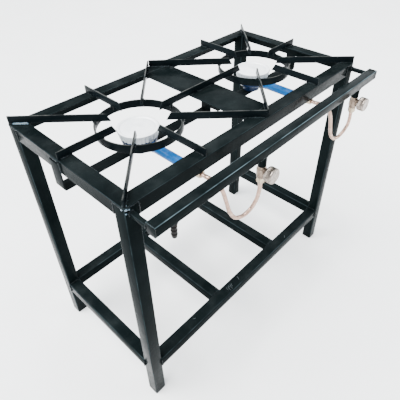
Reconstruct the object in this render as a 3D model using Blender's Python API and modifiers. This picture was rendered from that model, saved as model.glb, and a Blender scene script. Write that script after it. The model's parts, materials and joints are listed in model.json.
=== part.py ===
"""Two-burner propane burner stand.

Welded steel stand: angle-iron top frame on square-tube legs, a square-tube lower shelf,
two pot grates, two cast burners on bent straps, a square gas manifold along the front,
two gas valves and two bent copper tubes that feed the burners.

Units are metres and +Z is up. The origin is on the floor, at the middle of the object's
bounding box, +X runs along the long side to the right and -Y is the side with the knobs.
"""
import math

import bmesh
import bpy
from mathutils import Matrix, Vector

# ---------------------------------------------------------------- driving dimensions
GAP = 0.0003                    # clearance between pieces that touch
FRAME_LENGTH = 0.800
FRAME_DEPTH = 0.400
FRAME_TOP = 0.682               # top face of the angle-iron frame
ANGLE = 0.032                   # flange width of the angle iron
ANGLE_THICKNESS = 0.0032
TUBE = 0.032                    # square tube of the legs and the shelf
TUBE_WALL = 0.0016
TUBE_CORNER = 0.003             # outer corner radius of the square tube
SHELF_TOP = 0.142
SHELF_BAR_CENTRES = (0.272, 0.536)      # from the frame's left side
PLATE_CENTRE = 0.402            # centre plate, from the frame's left side
PLATE_WIDTH = 0.088

BURNER_X = {"left": -0.2045, "right": 0.205}
GRATE_X = {"left": -0.200, "right": 0.209}
RING_RADIUS = 0.098
RING_HEIGHT = 0.0195
BAR_THICKNESS = 0.0032          # flat bar of the grates and straps
FINGER_TOP = 0.700
FINGER_REACH_TOP = 0.070        # inner end of a finger, from the burner's axis
FINGER_REACH_BOTTOM = 0.060
FINGER_CORNER_INSET = 0.0015    # keeps the bars that meet at the middle of a long side apart
FINGER_SPLIT = 0.372            # where the two inner fingers meet, from the left side

STRAP_WIDTH = 0.032
STRAP_SHIFT = {"left": 0.014, "right": 0.001}       # strap's middle behind the burner's axis
STRAP_BOTTOM = 0.607
STRAP_BEND = 0.0055
STRAP_HANG_TOP = 0.674          # upper end of the leg welded outside the frame
STRAP_INNER_END = {"left": 0.432, "right": 0.442}   # inner leg, from the frame's left side

CAP_TOP = 0.669
CAP_RADIUS = 0.0475
CAP_SEAT = 0.6550
MIXER_Z = 0.637                 # axis of the mixer tube and the injector
MIXER_RADIUS = 0.0112
MIXER_WALL = 0.0017
MIXER_FRONT = 0.030             # from the frame's front face
MIXER_BACK = 0.1545

MANIFOLD = 0.0235
MANIFOLD_WALL = 0.0015
MANIFOLD_TOP = 0.6765
MANIFOLD_AXIS = 0.055           # in front of the frame's front face
MANIFOLD_START = 0.008          # manifold ends, from the frame's left side
MANIFOLD_END = 0.804
ARM = 0.0095
SOCKET_RADIUS = 0.0095
SOCKET_BORE = 0.0062
INLET_X = 0.058                 # from the frame's left side

VALVE_X = {"left": -0.088, "right": 0.322}
VALVE_TOP = 0.6267
VALVE_BOTTOM = 0.597
VALVE_RADIUS = 0.011
STEM_Z = 0.614
STEM_RADIUS = 0.0040
KNOB_RADIUS = 0.018
KNOB_LENGTH = 0.0190
KNOB_REACH = 0.0900             # knob's front face, in front of the frame's front face
NUT_HEX = 0.012
NUT_CONE = 0.0035
NUT_FLATS = 0.0175
GAS_TUBE_RADIUS = 0.00475

# ---------------------------------------------------------------- derived places
LEFT = -FRAME_LENGTH / 2
RIGHT = FRAME_LENGTH / 2
FRONT = -(FRAME_DEPTH - KNOB_REACH) / 2
BACK = FRONT + FRAME_DEPTH
BURNER_Y = FRONT + FRAME_DEPTH / 2
LEG_TOP = FRAME_TOP - ANGLE_THICKNESS - GAP
MANIFOLD_Y = FRONT - MANIFOLD_AXIS
MANIFOLD_BOTTOM = MANIFOLD_TOP - MANIFOLD
SIDES = ("left", "right")

# ---------------------------------------------------------------- scene and collections


def clear_scene():
    for old in list(bpy.data.objects):
        bpy.data.objects.remove(old, do_unlink=True)


def new_collection(name):
    collection = bpy.data.collections.new(name)
    bpy.context.scene.collection.children.link(collection)
    return collection


clear_scene()
PARTS = new_collection("propane_burner_stand")
CUTTERS = new_collection("cutters")


def make_material(name, colour, roughness, metallic):
    material = bpy.data.materials.new(name)
    material.use_nodes = True
    shader = material.node_tree.nodes["Principled BSDF"]
    shader.inputs["Base Color"].default_value = (*colour, 1.0)
    shader.inputs["Roughness"].default_value = roughness
    shader.inputs["Metallic"].default_value = metallic
    return material


BLACK_PAINT = make_material("black_paint", (0.016, 0.020, 0.022), 0.30, 0.0)
GRATE_PAINT = make_material("grate_paint", (0.012, 0.016, 0.017), 0.36, 0.0)
CAST_ALUMINIUM = make_material("cast_aluminium", (0.78, 0.80, 0.82), 0.38, 1.0)
BLUE_PAINT = make_material("blue_paint", (0.010, 0.13, 0.42), 0.32, 0.0)
BRASS = make_material("brass", (0.66, 0.52, 0.34), 0.30, 1.0)
COPPER = make_material("copper", (0.72, 0.45, 0.33), 0.28, 1.0)
KNOB_METAL = make_material("knob_metal", (0.80, 0.74, 0.68), 0.22, 1.0)
BLACK_FITTING = make_material("black_fitting", (0.020, 0.020, 0.020), 0.50, 0.0)

# ---------------------------------------------------------------- shape helpers


def place(obj, material, collection=PARTS):
    obj.data.materials.append(material)
    collection.objects.link(obj)
    return obj


def mesh_object(name, bm, material, smooth=False, collection=PARTS):
    """Turn a bmesh into a placed object."""
    mesh = bpy.data.meshes.new(name)
    bm.to_mesh(mesh)
    bm.free()
    if smooth:
        mesh.shade_smooth()
        mesh.set_sharp_from_angle(angle=math.radians(35))
    return place(bpy.data.objects.new(name, mesh), material, collection)


def box(name, low, high, material, collection=PARTS):
    """Box between two corners, with its origin at its centre."""
    low, high = Vector(low), Vector(high)
    bm = bmesh.new()
    bmesh.ops.create_cube(bm, size=1.0)
    bmesh.ops.scale(bm, vec=high - low, verts=bm.verts)
    obj = mesh_object(name, bm, material, collection=collection)
    obj.location = (low + high) / 2
    return obj


def cylinder_bmesh(radius_low, radius_high, low, high, segments):
    """Cylinder or cone along local Z between two heights."""
    bm = bmesh.new()
    bmesh.ops.create_cone(bm, cap_ends=True, segments=segments, radius1=radius_low,
                          radius2=radius_high, depth=high - low)
    bmesh.ops.translate(bm, vec=(0, 0, (low + high) / 2), verts=bm.verts)
    return bm


def cylinder(name, radius, low, high, material, segments=32, collection=PARTS):
    bm = cylinder_bmesh(radius, radius, low, high, segments)
    return mesh_object(name, bm, material, smooth=True, collection=collection)


def outline_curve(name, outlines, depth, material, collection=PARTS):
    """Flat piece from closed outlines in local XY, centred on local Z."""
    curve = bpy.data.curves.new(name, "CURVE")
    curve.dimensions = "2D"
    curve.fill_mode = "BOTH"
    curve.extrude = depth / 2
    for points in outlines:
        spline = curve.splines.new("POLY")
        spline.points.add(len(points) - 1)
        for point, (x, y) in zip(spline.points, points):
            point.co = (x, y, 0, 1)
        spline.use_cyclic_u = True
    return place(bpy.data.objects.new(name, curve), material, collection)


def arc(centre, radius, start_degrees, end_degrees, steps):
    """Points along an arc, both ends included."""
    points = []
    for step in range(steps + 1):
        angle = math.radians(start_degrees + (end_degrees - start_degrees) * step / steps)
        points.append((centre[0] + radius * math.cos(angle), centre[1] + radius * math.sin(angle)))
    return points


def rounded_square(size, corner, steps=3):
    """Outline of a square with round corners, centred on the origin."""
    inner = size / 2 - corner
    points = []
    for quarter, (sign_x, sign_y) in enumerate(((1, 1), (-1, 1), (-1, -1), (1, -1))):
        centre = (sign_x * inner, sign_y * inner)
        points += arc(centre, corner, 90 * quarter, 90 * quarter + 90, steps)
    return points


def circle(radius, steps):
    return arc((0, 0), radius, 0, 360 - 360 / steps, steps - 1)


def turned(name, profile, material, steps=48, collection=PARTS):
    """Solid of revolution about local Z. The profile is (radius, height), outer side downwards."""
    mesh = bpy.data.meshes.new(name)
    edges = [(index, index + 1) for index in range(len(profile) - 1)]
    closed = profile[0][0] > 0.0
    if closed:
        edges.append((len(profile) - 1, 0))
    mesh.from_pydata([(radius, 0, height) for radius, height in profile], edges, [])
    obj = place(bpy.data.objects.new(name, mesh), material, collection)
    screw = obj.modifiers.new("turn", "SCREW")
    screw.steps = steps
    screw.render_steps = steps
    screw.use_merge_vertices = True
    screw.merge_threshold = 0.00001
    screw.use_smooth_shade = True
    return obj


def to_mesh(obj):
    """Replace an object by the mesh it evaluates to, with its loose caps welded."""
    bpy.context.view_layer.update()
    evaluated = obj.evaluated_get(bpy.context.evaluated_depsgraph_get())
    mesh = bpy.data.meshes.new_from_object(evaluated)
    bm = bmesh.new()
    bm.from_mesh(mesh)
    bmesh.ops.remove_doubles(bm, verts=bm.verts, dist=0.00001)
    bm.to_mesh(mesh)
    bm.free()
    name = obj.name
    collection = obj.users_collection[0]
    matrix = obj.matrix_world.copy()
    bpy.data.objects.remove(obj, do_unlink=True)
    solid = bpy.data.objects.new(name, mesh)
    collection.objects.link(solid)
    solid.matrix_world = matrix
    return solid


def boolean(target, other, operation="DIFFERENCE"):
    """Cut or join with another object, which becomes a hidden cutter."""
    for collection in list(other.users_collection):
        collection.objects.unlink(other)
    CUTTERS.objects.link(other)
    other.hide_render = True
    other.display_type = "WIRE"
    modifier = target.modifiers.new(operation.lower(), "BOOLEAN")
    modifier.operation = operation
    modifier.solver = "EXACT"
    modifier.object = other
    return target


def smooth_curve(points, samples):
    """Catmull-Rom curve through the points, sampled evenly in its parameter."""
    points = [Vector(point) for point in points]
    padded = [2 * points[0] - points[1], *points, 2 * points[-1] - points[-2]]
    spans = len(points) - 1
    result = []
    for sample in range(samples):
        place_on_curve = spans * sample / (samples - 1)
        span = min(int(place_on_curve), spans - 1)
        t = place_on_curve - span
        a, b, c, d = padded[span:span + 4]
        result.append(0.5 * (2 * b + (c - a) * t + (2 * a - 5 * b + 4 * c - d) * t ** 2
                             + (3 * b - a - 3 * c + d) * t ** 3))
    return result


ALONG_X = (0, math.pi / 2, 0)           # turns local Z to +X
ALONG_Y = (-math.pi / 2, 0, 0)          # turns local Z to +Y
TOWARDS_FRONT = (math.pi / 2, 0, 0)     # turns local Z to -Y and local Y to +Z

# ---------------------------------------------------------------- welded frame


def square_tube(name, size, wall, corner, low, high, axis):
    """Open-ended square tube; low and high are its ends' centres."""
    outlines = [rounded_square(size, corner), rounded_square(size - 2 * wall, corner - wall)]
    low, high = Vector(low), Vector(high)
    tube = outline_curve(name, outlines, (high - low).length, BLACK_PAINT)
    tube.location = (low + high) / 2
    tube.rotation_euler = axis
    return tube


def frame_tube(name, low, high, axis):
    return square_tube(name, TUBE, TUBE_WALL, TUBE_CORNER, low, high, axis)


def make_legs():
    for row, y in (("front", FRONT + TUBE / 2), ("back", BACK - TUBE / 2)):
        for side, x in (("left", LEFT + TUBE / 2), ("right", RIGHT - TUBE / 2)):
            frame_tube(f"leg_{row}_{side}", (x, y, 0), (x, y, LEG_TOP), (0, 0, 0))


def make_shelf():
    z = SHELF_TOP - TUBE / 2
    start_x, end_x = LEFT + TUBE + GAP, RIGHT - TUBE - GAP
    start_y, end_y = FRONT + TUBE + GAP, BACK - TUBE - GAP
    for row, y in (("front", FRONT + TUBE / 2), ("back", BACK - TUBE / 2)):
        frame_tube(f"shelf_rail_{row}", (start_x, y, z), (end_x, y, z), ALONG_X)
    for side, x in (("left", LEFT + TUBE / 2), ("right", RIGHT - TUBE / 2)):
        frame_tube(f"shelf_rail_{side}", (x, start_y, z), (x, end_y, z), ALONG_Y)
    for side, x in zip(SIDES, SHELF_BAR_CENTRES):
        frame_tube(f"shelf_bar_{side}", (LEFT + x, start_y, z), (LEFT + x, end_y, z), ALONG_Y)


def angle_rail(name, length, location, turn_degrees):
    """Angle-iron rail. Local X runs along it, local Y inwards from its outer face."""
    half = length / 2 - GAP
    bm = bmesh.new()
    bmesh.ops.create_cube(bm, size=1.0)
    bmesh.ops.scale(bm, vec=(2 * half, ANGLE, ANGLE_THICKNESS), verts=bm.verts)
    bmesh.ops.translate(bm, vec=(0, ANGLE / 2, -ANGLE_THICKNESS / 2), verts=bm.verts)
    for vert in bm.verts:
        if vert.co.y > ANGLE / 2:
            vert.co.x -= math.copysign(ANGLE, vert.co.x)
    rail = mesh_object(name, bm, BLACK_PAINT)
    rail.location = location
    rail.rotation_euler = (0, 0, math.radians(turn_degrees))
    wall_end = length / 2 - TUBE - GAP
    wall = box(f"{name}_wall", (-wall_end, 0, -ANGLE), (wall_end, ANGLE_THICKNESS, -ANGLE_THICKNESS / 2),
               BLACK_PAINT, CUTTERS)
    wall_matrix = wall.matrix_basis.copy()
    wall.matrix_basis = rail.matrix_basis @ wall_matrix
    return boolean(rail, wall, "UNION")


def make_top_frame():
    middle_y = (FRONT + BACK) / 2
    angle_rail("top_rail_front", FRAME_LENGTH, (0, FRONT, FRAME_TOP), 0)
    angle_rail("top_rail_back", FRAME_LENGTH, (0, BACK, FRAME_TOP), 180)
    angle_rail("top_rail_left", FRAME_DEPTH, (LEFT, middle_y, FRAME_TOP), -90)
    angle_rail("top_rail_right", FRAME_DEPTH, (RIGHT, middle_y, FRAME_TOP), 90)
    plate_x = LEFT + PLATE_CENTRE
    box("centre_plate",
        (plate_x - PLATE_WIDTH / 2, FRONT + ANGLE + GAP, FRAME_TOP - ANGLE_THICKNESS),
        (plate_x + PLATE_WIDTH / 2, BACK - ANGLE - GAP, FRAME_TOP), BLACK_PAINT)


# ---------------------------------------------------------------- pot grates


def finger(name, centre_x, target_x, target_y):
    """Flat bar on edge that runs from a point of the frame to the burner, with a sloping inner end."""
    bottom = FRAME_TOP + GAP
    reach = Vector((target_x - centre_x, target_y - BURNER_Y))
    outline = [(FINGER_REACH_BOTTOM, bottom), (reach.length, bottom),
               (reach.length, FINGER_TOP), (FINGER_REACH_TOP, FINGER_TOP)]
    bar = outline_curve(name, [outline], BAR_THICKNESS, GRATE_PAINT)
    bar.rotation_euler = (math.pi / 2, 0, math.atan2(reach.y, reach.x))
    bar.location = (centre_x, BURNER_Y, 0)


def make_grate(side):
    """Ring with eight bars: four to the corners of its half of the frame and four to the sides."""
    centre_x = GRATE_X[side]
    ring = outline_curve(f"grate_ring_{side}",
                         [circle(RING_RADIUS, 64), circle(RING_RADIUS - BAR_THICKNESS, 64)],
                         RING_HEIGHT, GRATE_PAINT)
    ring.location = (centre_x, BURNER_Y, FRAME_TOP - RING_HEIGHT / 2)
    inset = FINGER_CORNER_INSET
    split_x = LEFT + FINGER_SPLIT
    if side == "left":
        low_x, high_x, left_x, right_x = LEFT, 0.0, LEFT, split_x - GAP
    else:
        low_x, high_x, left_x, right_x = 0.0, RIGHT, split_x + GAP, RIGHT
    columns = {"left": low_x + inset, "": centre_x, "right": high_x - inset}
    rows = {"front": (FRONT, inset), "": (BURNER_Y, 0.0), "back": (BACK, -inset)}
    for row, (edge_y, row_inset) in rows.items():
        for column, edge_x in columns.items():
            if not row and not column:
                continue
            x = {"left": left_x, "right": right_x}[column] if not row else edge_x
            y = edge_y + row_inset if column else edge_y
            direction = "_".join(word for word in (row, column) if word)
            finger(f"grate_{side}_finger_{direction}", centre_x, x, y)


# ---------------------------------------------------------------- burners


def strap_outline(length, left_rise, right_rise):
    """U of flat bar seen from the front, with its lower outer face at height 0."""
    outer, inner = STRAP_BEND, STRAP_BEND - BAR_THICKNESS
    lower_left, lower_right = (outer, outer), (length - outer, outer)
    points = [(0, left_rise)]
    points += arc(lower_left, outer, 180, 270, 5)
    points += arc(lower_right, outer, 270, 360, 5)
    points += [(length, right_rise), (length - BAR_THICKNESS, right_rise)]
    points += arc(lower_right, inner, 360, 270, 5)
    points += arc(lower_left, inner, 270, 180, 5)
    points += [(BAR_THICKNESS, left_rise)]
    return points


def make_strap(side):
    """Bent flat bar that carries the burner, from outside the frame to the centre plate."""
    outer_x = FRAME_LENGTH / 2 + GAP + BAR_THICKNESS
    inner_x = LEFT + STRAP_INNER_END[side]
    outer_rise = STRAP_HANG_TOP - STRAP_BOTTOM
    inner_rise = LEG_TOP - STRAP_BOTTOM
    if side == "left":
        start, end = -outer_x, inner_x
        outline = strap_outline(end - start, outer_rise, inner_rise)
    else:
        start, end = inner_x, outer_x
        outline = strap_outline(end - start, inner_rise, outer_rise)
    strap = outline_curve(f"burner_strap_{side}", [outline], STRAP_WIDTH, GRATE_PAINT)
    strap.rotation_euler = TOWARDS_FRONT
    strap.location = (start, BURNER_Y + STRAP_SHIFT[side], STRAP_BOTTOM)


def make_burner(side):
    """Cast bowl with a foot and a side neck, and the loose cap that lies on it."""
    x = BURNER_X[side]
    foot = STRAP_BOTTOM + BAR_THICKNESS + GAP
    lip = CAP_SEAT - GAP
    bowl_profile = [(0.0, 0.6245), (0.0340, 0.6245), (0.0355, 0.632), (0.0390, lip - 0.005),
                    (0.0390, lip), (0.0450, lip), (0.0385, 0.630), (0.0345, 0.6235),
                    (0.022, 0.6205), (0.022, foot), (0.0, foot)]
    bowl = turned(f"burner_bowl_{side}", bowl_profile, BLUE_PAINT)
    bowl.location = (x, BURNER_Y, 0)
    neck_end = FRONT + MIXER_BACK - 0.016 - BURNER_Y
    neck = cylinder(f"burner_neck_{side}", MIXER_RADIUS - MIXER_WALL - GAP, 0.0395, -neck_end,
                    CAST_ALUMINIUM, 32)
    neck.rotation_euler = TOWARDS_FRONT
    neck.location = (x, BURNER_Y, MIXER_Z)
    boolean(bowl, neck, "UNION")
    bore = cylinder(f"burner_bore_{side}", 0.0078, 0.030, 0.10, CAST_ALUMINIUM, 32)
    bore.rotation_euler = TOWARDS_FRONT
    bore.location = (x, BURNER_Y, MIXER_Z)
    boolean(bowl, bore)
    cap_profile = [(0.0, CAP_TOP), (0.0300, CAP_TOP - 0.0002), (0.0405, CAP_TOP - 0.0014),
                   (0.0420, CAP_TOP - 0.0026), (0.0435, CAP_TOP - 0.0012), (0.0462, CAP_TOP - 0.0010),
                   (CAP_RADIUS, CAP_TOP - 0.0024), (CAP_RADIUS, CAP_TOP - 0.0075),
                   (CAP_RADIUS - 0.0020, CAP_SEAT), (0.0380, CAP_SEAT), (0.0380, CAP_SEAT - 0.004),
                   (0.0355, CAP_SEAT - 0.004), (0.0355, CAP_TOP - 0.0060), (0.0, CAP_TOP - 0.0060)]
    cap = turned(f"burner_cap_{side}", cap_profile, CAST_ALUMINIUM)
    cap.location = (x, BURNER_Y, 0)


def air_holes(name, depth_low, depth_high, x, y, material):
    """Four round holes about the mixer's axis, as one cutter."""
    bm = bmesh.new()
    for quarter in range(4):
        angle = math.radians(45 + 90 * quarter)
        made = bmesh.ops.create_cone(bm, cap_ends=True, segments=16, radius1=0.0020,
                                     radius2=0.0020, depth=depth_high - depth_low)
        offset = (0.0073 * math.cos(angle), 0.0073 * math.sin(angle), (depth_low + depth_high) / 2)
        bmesh.ops.translate(bm, vec=offset, verts=made["verts"])
    holes = mesh_object(name, bm, material, collection=CUTTERS)
    holes.rotation_euler = ALONG_Y
    holes.location = (x, y, MIXER_Z)
    return holes


def make_mixer(side):
    """Blue mixer tube with a drilled front wall, its turning air shutter and the injector."""
    x = BURNER_X[side]
    front_y = FRONT + MIXER_FRONT
    length = MIXER_BACK - MIXER_FRONT
    inner = MIXER_RADIUS - MIXER_WALL
    spindle = 0.0047
    tube_profile = [(inner, length), (MIXER_RADIUS, length), (MIXER_RADIUS, 0), (spindle, 0),
                    (spindle, 0.0025), (inner, 0.0025)]
    tube = turned(f"mixer_tube_{side}", tube_profile, BLUE_PAINT, 32)
    tube.rotation_euler = ALONG_Y
    tube.location = (x, front_y, MIXER_Z)
    boolean(tube, air_holes(f"mixer_holes_{side}", -0.001, 0.0035, x, front_y, BLUE_PAINT))
    shutter_profile = [(spindle, 0.0016), (MIXER_RADIUS, 0.0016), (MIXER_RADIUS, 0), (spindle, 0)]
    shutter = turned(f"air_shutter_{side}", shutter_profile, BLUE_PAINT, 32)
    shutter.rotation_euler = ALONG_Y
    shutter_y = front_y - GAP - 0.0016
    shutter.location = (x, shutter_y, MIXER_Z)
    tab = box(f"shutter_tab_{side}", (x - 0.003, shutter_y, MIXER_Z - 0.0185),
              (x + 0.003, shutter_y + 0.0016, MIXER_Z - 0.0100), BLUE_PAINT, CUTTERS)
    boolean(shutter, tab, "UNION")
    boolean(shutter, air_holes(f"shutter_holes_{side}", -0.001, 0.003, x, shutter_y, BLUE_PAINT))
    injector_y = shutter_y - GAP
    injector_profile = [(0.0010, 0.026), (0.0024, 0.026), (0.0042, 0.018), (0.0042, -0.010),
                        (0.0010, -0.010)]
    injector = turned(f"injector_{side}", injector_profile, BRASS, 24)
    head = hexagon(f"injector_head_{side}", -0.020, 0.0)
    socket = cylinder(f"injector_socket_{side}", GAS_TUBE_RADIUS + GAP, -0.022, -0.008, BRASS, 24)
    for piece in (injector, head, socket):
        piece.rotation_euler = ALONG_Y
        piece.location = (x, injector_y, MIXER_Z)
    boolean(injector, head, "UNION")
    boolean(injector, socket)
    orifice = cylinder(f"injector_orifice_{side}", 0.0010, -0.012, 0.028, BRASS, 16)
    orifice.rotation_euler = ALONG_Y
    orifice.location = (x, injector_y, MIXER_Z)
    boolean(injector, orifice)


# ---------------------------------------------------------------- gas supply


def square_bar(name, size, corner, low, high, material, collection=PARTS):
    """Solid square bar along X between two end centres."""
    low, high = Vector(low), Vector(high)
    bar = outline_curve(name, [rounded_square(size, corner)], (high - low).length, material, collection)
    bar.location = (low + high) / 2
    bar.rotation_euler = ALONG_X
    return to_mesh(bar)


def drill_down(target, name, radius, x, low, high):
    """Upright bore through the manifold's lower wall."""
    hole = cylinder(name, radius, low, high, BLACK_PAINT, 24, CUTTERS)
    hole.location = (x, MANIFOLD_Y, 0)
    boolean(target, hole)


def make_manifold():
    """Closed square tube with the two valve sockets welded under it, and its two arms."""
    z = MANIFOLD_TOP - MANIFOLD / 2
    start_x, end_x = LEFT + MANIFOLD_START, LEFT + MANIFOLD_END
    wall = MANIFOLD_WALL
    manifold = square_bar("gas_manifold", MANIFOLD, 0.0022, (start_x, MANIFOLD_Y, z),
                          (end_x, MANIFOLD_Y, z), BLACK_PAINT)
    boolean(manifold, square_bar("manifold_hollow", MANIFOLD - 2 * wall, 0.0007,
                                 (start_x + wall, MANIFOLD_Y, z), (end_x - wall, MANIFOLD_Y, z),
                                 BLACK_PAINT))
    for side in SIDES:
        x = VALVE_X[side]
        socket = cylinder(f"valve_socket_{side}", SOCKET_RADIUS, VALVE_TOP + GAP,
                          MANIFOLD_BOTTOM + wall / 2, BLACK_PAINT, 32)
        socket.location = (x, MANIFOLD_Y, 0)
        boolean(manifold, socket, "UNION")
        drill_down(manifold, f"valve_hole_{side}", SOCKET_BORE, x, VALVE_TOP - 0.002,
                   MANIFOLD_BOTTOM + wall + 0.001)
    drill_down(manifold, "inlet_hole", 0.0035, LEFT + INLET_X, MANIFOLD_BOTTOM - 0.002,
               MANIFOLD_BOTTOM + wall + 0.001)
    arm_z = MANIFOLD_TOP - 0.012
    for side, x in (("left", start_x), ("right", RIGHT - ARM)):
        box(f"manifold_arm_{side}", (x, MANIFOLD_Y + MANIFOLD / 2 + GAP, arm_z - ARM / 2),
            (x + ARM, FRONT - GAP, arm_z + ARM / 2), BLACK_PAINT)


def make_inlet():
    """Hose barb that points down from the manifold, near its left end."""
    top = MANIFOLD_BOTTOM - GAP
    profile = [(0.0030, top), (0.0085, top), (0.0085, top - 0.003), (0.0068, top - 0.007)]
    barb_start = top - 0.014
    for ridge in range(3):
        ridge_top = barb_start - ridge * 0.009
        profile += [(0.0050, ridge_top), (0.0064, ridge_top - 0.0012),
                    (0.0050, ridge_top - 0.0075)]
    profile += [(0.0045, top - 0.0420), (0.0030, top - 0.0420)]
    barb = turned("gas_inlet_barb", profile, BLACK_FITTING, 24)
    barb.location = (LEFT + INLET_X, MANIFOLD_Y, 0)


def make_valve(side):
    """Gas valve: body with a front boss, turning stem and round knob."""
    x = VALVE_X[side]
    boss_length = 0.0135
    body = cylinder(f"valve_body_{side}", VALVE_RADIUS, VALVE_BOTTOM, VALVE_TOP, BRASS, 32)
    body.location = (x, MANIFOLD_Y, 0)
    boss = cylinder(f"valve_boss_{side}", 0.0078, 0.0, boss_length, BRASS, 32)
    boss.rotation_euler = TOWARDS_FRONT
    boss.location = (x, MANIFOLD_Y, STEM_Z)
    boolean(body, boss, "UNION")
    stem_bore = cylinder(f"valve_stem_bore_{side}", STEM_RADIUS + GAP, 0.004, boss_length + 0.002,
                         BRASS, 32)
    stem_bore.rotation_euler = TOWARDS_FRONT
    stem_bore.location = (x, MANIFOLD_Y, STEM_Z)
    boolean(body, stem_bore)
    gas_way = cylinder(f"valve_gas_way_{side}", 0.0035, VALVE_BOTTOM - 0.002, VALVE_TOP + 0.002,
                       BRASS, 24)
    gas_way.location = (x, MANIFOLD_Y, 0)
    boolean(body, gas_way)
    stem = cylinder(f"valve_stem_{side}", STEM_RADIUS, 0.0048, 0.0290, BRASS, 24)
    stem.rotation_euler = TOWARDS_FRONT
    stem.location = (x, MANIFOLD_Y, STEM_Z)
    face = KNOB_REACH - MANIFOLD_AXIS
    rear = face - KNOB_LENGTH
    bore_end = 0.0290 + GAP
    knob_profile = [(0.0, face), (0.0140, face), (0.0168, face - 0.0010),
                    (KNOB_RADIUS, face - 0.0030), (KNOB_RADIUS, rear + 0.0030),
                    (0.0160, rear), (STEM_RADIUS + GAP, rear), (STEM_RADIUS + GAP, bore_end),
                    (0.0, bore_end)]
    knob = turned(f"knob_{side}", knob_profile, KNOB_METAL, 40)
    knob.rotation_euler = TOWARDS_FRONT
    knob.location = (x, MANIFOLD_Y, STEM_Z)
    notch = box(f"knob_pointer_{side}",
                (x - 0.0008, MANIFOLD_Y - face - 0.001, STEM_Z + 0.0100),
                (x + 0.0008, MANIFOLD_Y - face + 0.0010, STEM_Z + 0.0200), KNOB_METAL, CUTTERS)
    boolean(knob, notch)


def hexagon(name, low, high, collection=PARTS):
    """Hexagon nut blank along local Z."""
    radius = NUT_FLATS / math.sqrt(3)
    return mesh_object(name, cylinder_bmesh(radius, radius, low, high, 6), BRASS, collection=collection)


def make_flare_nut(side):
    """Hexagon nut under the valve, with a short cone around the copper tube."""
    nut = hexagon(f"flare_nut_{side}", -NUT_HEX, 0)
    cone_bm = cylinder_bmesh(0.0066, 0.0082, -NUT_HEX - NUT_CONE, -NUT_HEX + 0.001, 24)
    cone = mesh_object(f"nut_cone_{side}", cone_bm, BRASS)
    bore = cylinder(f"nut_bore_{side}", GAS_TUBE_RADIUS + GAP, -0.03, 0.01, BRASS, 24)
    for piece in (nut, cone, bore):
        piece.location = (VALVE_X[side], MANIFOLD_Y, VALVE_BOTTOM - GAP)
    boolean(nut, cone, "UNION")
    boolean(nut, bore)


GAS_TUBE_ROUTE = {              # x from the burner's axis, y from the frame's front face
    "left": [(0.1165, -0.0550, 0.5955), (0.1165, -0.0550, 0.5780), (0.1158, -0.0545, 0.5560),
             (0.1120, -0.0520, 0.5320), (0.1005, -0.0470, 0.5090), (0.0805, -0.0410, 0.4970),
             (0.0595, -0.0355, 0.5030), (0.0435, -0.0320, 0.5290), (0.0335, -0.0300, 0.5640),
             (0.0240, -0.0275, 0.5970), (0.0130, -0.0225, 0.6210), (0.0035, -0.0130, 0.6340),
             (0.0, -0.0045, 0.6370), (0.0, 0.0050, 0.6370), (0.0, 0.0180, 0.6370)],
    "right": [(0.1170, -0.0550, 0.5955), (0.1170, -0.0550, 0.5780), (0.1200, -0.0548, 0.5580),
              (0.1200, -0.0530, 0.5370), (0.1100, -0.0485, 0.5170), (0.0930, -0.0440, 0.5060),
              (0.0740, -0.0400, 0.5090), (0.0610, -0.0360, 0.5270), (0.0560, -0.0330, 0.5520),
              (0.0525, -0.0300, 0.5780), (0.0430, -0.0265, 0.6030), (0.0260, -0.0215, 0.6220),
              (0.0080, -0.0140, 0.6345), (0.0, -0.0045, 0.6370), (0.0, 0.0050, 0.6370),
              (0.0, 0.0180, 0.6370)],
}


def make_gas_tube(side):
    curve = bpy.data.curves.new(f"gas_tube_{side}", "CURVE")
    curve.dimensions = "3D"
    curve.bevel_depth = GAS_TUBE_RADIUS
    curve.bevel_resolution = 3
    curve.use_fill_caps = True
    route = smooth_curve(GAS_TUBE_ROUTE[side], 46)
    spline = curve.splines.new("POLY")
    spline.points.add(len(route) - 1)
    for point, place_on_route in zip(spline.points, route):
        point.co = (BURNER_X[side] + place_on_route.x, FRONT + place_on_route.y, place_on_route.z, 1)
    spline.use_smooth = True
    place(bpy.data.objects.new(f"gas_tube_{side}", curve), COPPER)


# ---------------------------------------------------------------- assembly

make_legs()
make_shelf()
make_top_frame()
for burner_side in SIDES:
    make_grate(burner_side)
    make_strap(burner_side)
    make_burner(burner_side)
    make_mixer(burner_side)
    make_valve(burner_side)
    make_flare_nut(burner_side)
    make_gas_tube(burner_side)
make_manifold()
make_inlet()
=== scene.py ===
import json
import math
import random

import bmesh
import bpy
from mathutils import Matrix, Vector


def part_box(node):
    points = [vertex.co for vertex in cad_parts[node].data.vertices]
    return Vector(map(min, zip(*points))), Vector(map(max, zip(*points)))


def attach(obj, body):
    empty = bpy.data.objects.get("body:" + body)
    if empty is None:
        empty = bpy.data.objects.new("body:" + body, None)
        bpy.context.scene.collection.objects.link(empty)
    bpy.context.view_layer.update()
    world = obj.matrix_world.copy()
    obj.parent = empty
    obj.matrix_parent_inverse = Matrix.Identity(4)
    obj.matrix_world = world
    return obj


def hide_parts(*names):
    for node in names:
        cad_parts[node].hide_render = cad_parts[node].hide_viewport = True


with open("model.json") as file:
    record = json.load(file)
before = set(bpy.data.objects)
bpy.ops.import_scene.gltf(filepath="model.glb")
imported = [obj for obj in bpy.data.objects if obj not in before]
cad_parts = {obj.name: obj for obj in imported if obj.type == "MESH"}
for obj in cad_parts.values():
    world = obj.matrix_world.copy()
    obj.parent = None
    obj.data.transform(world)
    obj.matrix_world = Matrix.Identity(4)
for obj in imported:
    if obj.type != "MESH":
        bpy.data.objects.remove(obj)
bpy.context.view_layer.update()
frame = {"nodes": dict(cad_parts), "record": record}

STAND = "stand"
SIDES = ("left", "right")
NODES = frame["nodes"]
BODY_OF = {node: body for body, nodes in frame["record"]["behaviour"]["bodies"].items() for node in nodes}


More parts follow.
